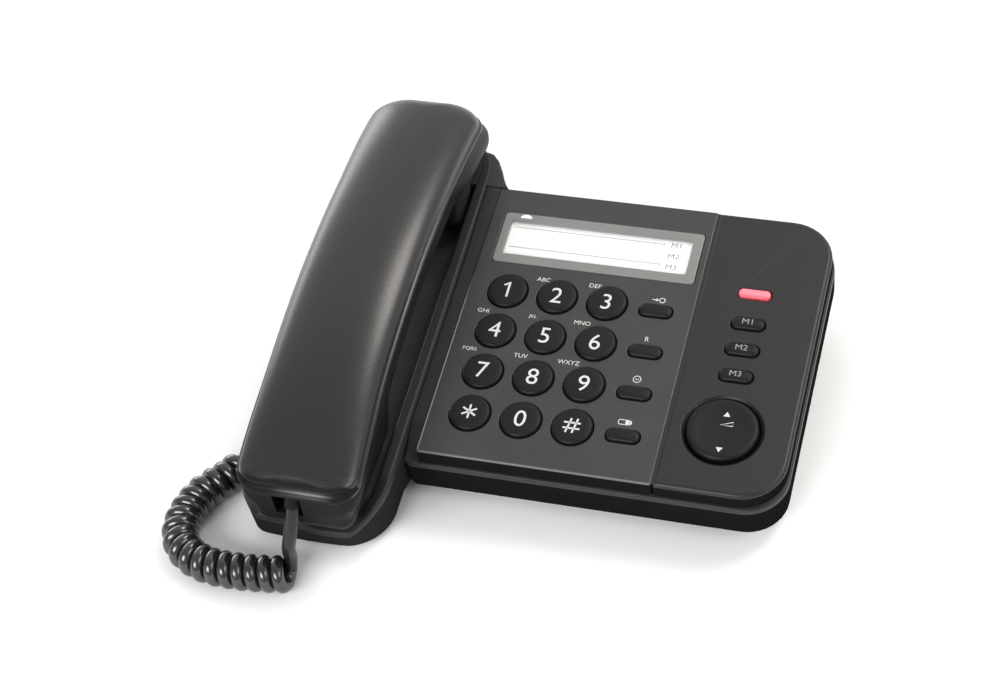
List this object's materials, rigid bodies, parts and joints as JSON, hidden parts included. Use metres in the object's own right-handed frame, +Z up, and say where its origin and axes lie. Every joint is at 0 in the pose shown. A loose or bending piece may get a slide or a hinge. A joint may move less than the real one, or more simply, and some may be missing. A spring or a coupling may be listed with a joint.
{
  "type": "corded landline phone",
  "caption": "Corded desk telephone: tilted base with round dial keys, memo card window, memory keys, volume rocker and side cradle; lift-off handset on a curly cord.",
  "frame": {"origin": "middle of the telephone's box (without the cord) on the surface that it stands on", "axes": "+X to the right of someone who faces the keys, +Y to the rear, +Z up"},
  "size_m": [0.2157, 0.1953, 0.0757],
  "materials": {
    "case_plastic": "satin",
    "plate_plastic": "satin",
    "key_plastic": "satin",
    "handset_plastic": "satin",
    "inner_plastic": "matt",
    "jack_plastic": "matt",
    "window_clear": "clear",
    "card_paper": "paper",
    "lens_red": "translucent",
    "board": "lacquered",
    "soft_rubber": "matt",
    "cord_jacket": "satin",
    "plug_clear": "clear",
    "steel": "plated",
    "capsule_metal": "drawn",
    "weight_iron": "raw"
  },
  "bodies": {
    "base": {"lower_case": "case_plastic", "upper_case": "case_plastic", "desk_stand": "case_plastic", "keypad_faceplate": "plate_plastic", "hook_switch": "inner_plastic", "ringer": "inner_plastic", "pcb_components": "inner_plastic", "line_jack": "jack_plastic", "base_handset_jack": "jack_plastic", "memo_window": "window_clear", "memo_card": "card_paper", "led_lens": "lens_red", "led": "lens_red", "main_pcb": "board", "keypad_membrane": "soft_rubber", "rubber_feet": "soft_rubber", "cord_coil": "cord_jacket", "cord_tail_base": "cord_jacket", "plug_base": "plug_clear", "base_screws": "steel", "pcb_screws": "steel", "hook_spring": "steel"},
    "handset": {"handset_back_cover": "handset_plastic", "handset_front_shell": "handset_plastic", "receiver_capsule": "capsule_metal", "receiver_gasket": "soft_rubber", "microphone_capsule": "capsule_metal", "microphone_boot": "soft_rubber", "handset_weight": "weight_iron", "handset_jack": "jack_plastic", "handset_screws": "steel", "plug_handset": "plug_clear", "cord_tail_handset": "cord_jacket"},
    "hook_plunger": {"hook_plunger": "inner_plastic"},
    "nav_rocker": {"nav_rocker": "key_plastic"},
    "key_1": {"key_1": "key_plastic"},
    "key_2": {"key_2": "key_plastic"},
    "key_3": {"key_3": "key_plastic"},
    "key_4": {"key_4": "key_plastic"},
    "key_5": {"key_5": "key_plastic"},
    "key_6": {"key_6": "key_plastic"},
    "key_7": {"key_7": "key_plastic"},
    "key_8": {"key_8": "key_plastic"},
    "key_9": {"key_9": "key_plastic"},
    "key_star": {"key_star": "key_plastic"},
    "key_0": {"key_0": "key_plastic"},
    "key_hash": {"key_hash": "key_plastic"},
    "key_store": {"key_store": "key_plastic"},
    "key_recall": {"key_recall": "key_plastic"},
    "key_redial": {"key_redial": "key_plastic"},
    "key_mute": {"key_mute": "key_plastic"},
    "key_m1": {"key_m1": "key_plastic"},
    "key_m2": {"key_m2": "key_plastic"},
    "key_m3": {"key_m3": "key_plastic"}
  },
  "joints": [
    {"name": "handset_lift", "type": "slide", "parent": "base", "child": "handset", "axis": [0, -0.1392, 0.9903], "range_m": [0, 0.1]},
    {"name": "hook_rise", "type": "slide", "parent": "base", "child": "hook_plunger", "axis": [0, -0.1392, 0.9903], "range_m": [0, 0.004], "deforming": ["hook_spring"]},
    {"name": "nav_tilt", "type": "hinge", "parent": "base", "child": "nav_rocker", "pos_m": [0.06774, -0.02674, 0.02794], "axis": [1, 0, 0], "range_deg": [-4, 4], "stiffness_Nm_per_rad": 0.5},
    {"name": "key_1_press", "type": "slide", "parent": "base", "child": "key_1", "axis": [0, 0.1392, -0.9903], "range_m": [0, 0.0013], "stiffness_N_per_m": 300, "springref_m": -0.002},
    {"name": "key_2_press", "type": "slide", "parent": "base", "child": "key_2", "axis": [0, 0.1392, -0.9903], "range_m": [0, 0.0013], "stiffness_N_per_m": 300, "springref_m": -0.002},
    {"name": "key_3_press", "type": "slide", "parent": "base", "child": "key_3", "axis": [0, 0.1392, -0.9903], "range_m": [0, 0.0013], "stiffness_N_per_m": 300, "springref_m": -0.002},
    {"name": "key_4_press", "type": "slide", "parent": "base", "child": "key_4", "axis": [0, 0.1392, -0.9903], "range_m": [0, 0.0013], "stiffness_N_per_m": 300, "springref_m": -0.002},
    {"name": "key_5_press", "type": "slide", "parent": "base", "child": "key_5", "axis": [0, 0.1392, -0.9903], "range_m": [0, 0.0013], "stiffness_N_per_m": 300, "springref_m": -0.002},
    {"name": "key_6_press", "type": "slide", "parent": "base", "child": "key_6", "axis": [0, 0.1392, -0.9903], "range_m": [0, 0.0013], "stiffness_N_per_m": 300, "springref_m": -0.002},
    {"name": "key_7_press", "type": "slide", "parent": "base", "child": "key_7", "axis": [0, 0.1392, -0.9903], "range_m": [0, 0.0013], "stiffness_N_per_m": 300, "springref_m": -0.002},
    {"name": "key_8_press", "type": "slide", "parent": "base", "child": "key_8", "axis": [0, 0.1392, -0.9903], "range_m": [0, 0.0013], "stiffness_N_per_m": 300, "springref_m": -0.002},
    {"name": "key_9_press", "type": "slide", "parent": "base", "child": "key_9", "axis": [0, 0.1392, -0.9903], "range_m": [0, 0.0013], "stiffness_N_per_m": 300, "springref_m": -0.002},
    {"name": "key_star_press", "type": "slide", "parent": "base", "child": "key_star", "axis": [0, 0.1392, -0.9903], "range_m": [0, 0.0013], "stiffness_N_per_m": 300, "springref_m": -0.002},
    {"name": "key_0_press", "type": "slide", "parent": "base", "child": "key_0", "axis": [0, 0.1392, -0.9903], "range_m": [0, 0.0013], "stiffness_N_per_m": 300, "springref_m": -0.002},
    {"name": "key_hash_press", "type": "slide", "parent": "base", "child": "key_hash", "axis": [0, 0.1392, -0.9903], "range_m": [0, 0.0013], "stiffness_N_per_m": 300, "springref_m": -0.002},
    {"name": "key_store_press", "type": "slide", "parent": "base", "child": "key_store", "axis": [0, 0.1392, -0.9903], "range_m": [0, 0.001], "stiffness_N_per_m": 300, "springref_m": -0.002},
    {"name": "key_recall_press", "type": "slide", "parent": "base", "child": "key_recall", "axis": [0, 0.1392, -0.9903], "range_m": [0, 0.001], "stiffness_N_per_m": 300, "springref_m": -0.002},
    {"name": "key_redial_press", "type": "slide", "parent": "base", "child": "key_redial", "axis": [0, 0.1392, -0.9903], "range_m": [0, 0.001], "stiffness_N_per_m": 300, "springref_m": -0.002},
    {"name": "key_mute_press", "type": "slide", "parent": "base", "child": "key_mute", "axis": [0, 0.1392, -0.9903], "range_m": [0, 0.001], "stiffness_N_per_m": 300, "springref_m": -0.002},
    {"name": "key_m1_press", "type": "slide", "parent": "base", "child": "key_m1", "axis": [0, 0.1392, -0.9903], "range_m": [0, 0.001], "stiffness_N_per_m": 300, "springref_m": -0.002},
    {"name": "key_m2_press", "type": "slide", "parent": "base", "child": "key_m2", "axis": [0, 0.1392, -0.9903], "range_m": [0, 0.001], "stiffness_N_per_m": 300, "springref_m": -0.002},
    {"name": "key_m3_press", "type": "slide", "parent": "base", "child": "key_m3", "axis": [0, 0.1392, -0.9903], "range_m": [0, 0.001], "stiffness_N_per_m": 300, "springref_m": -0.002}
  ],
  "couplings": [
    {"joint": "hook_rise", "follows": "handset_lift", "ratio": 0.04}
  ]
}
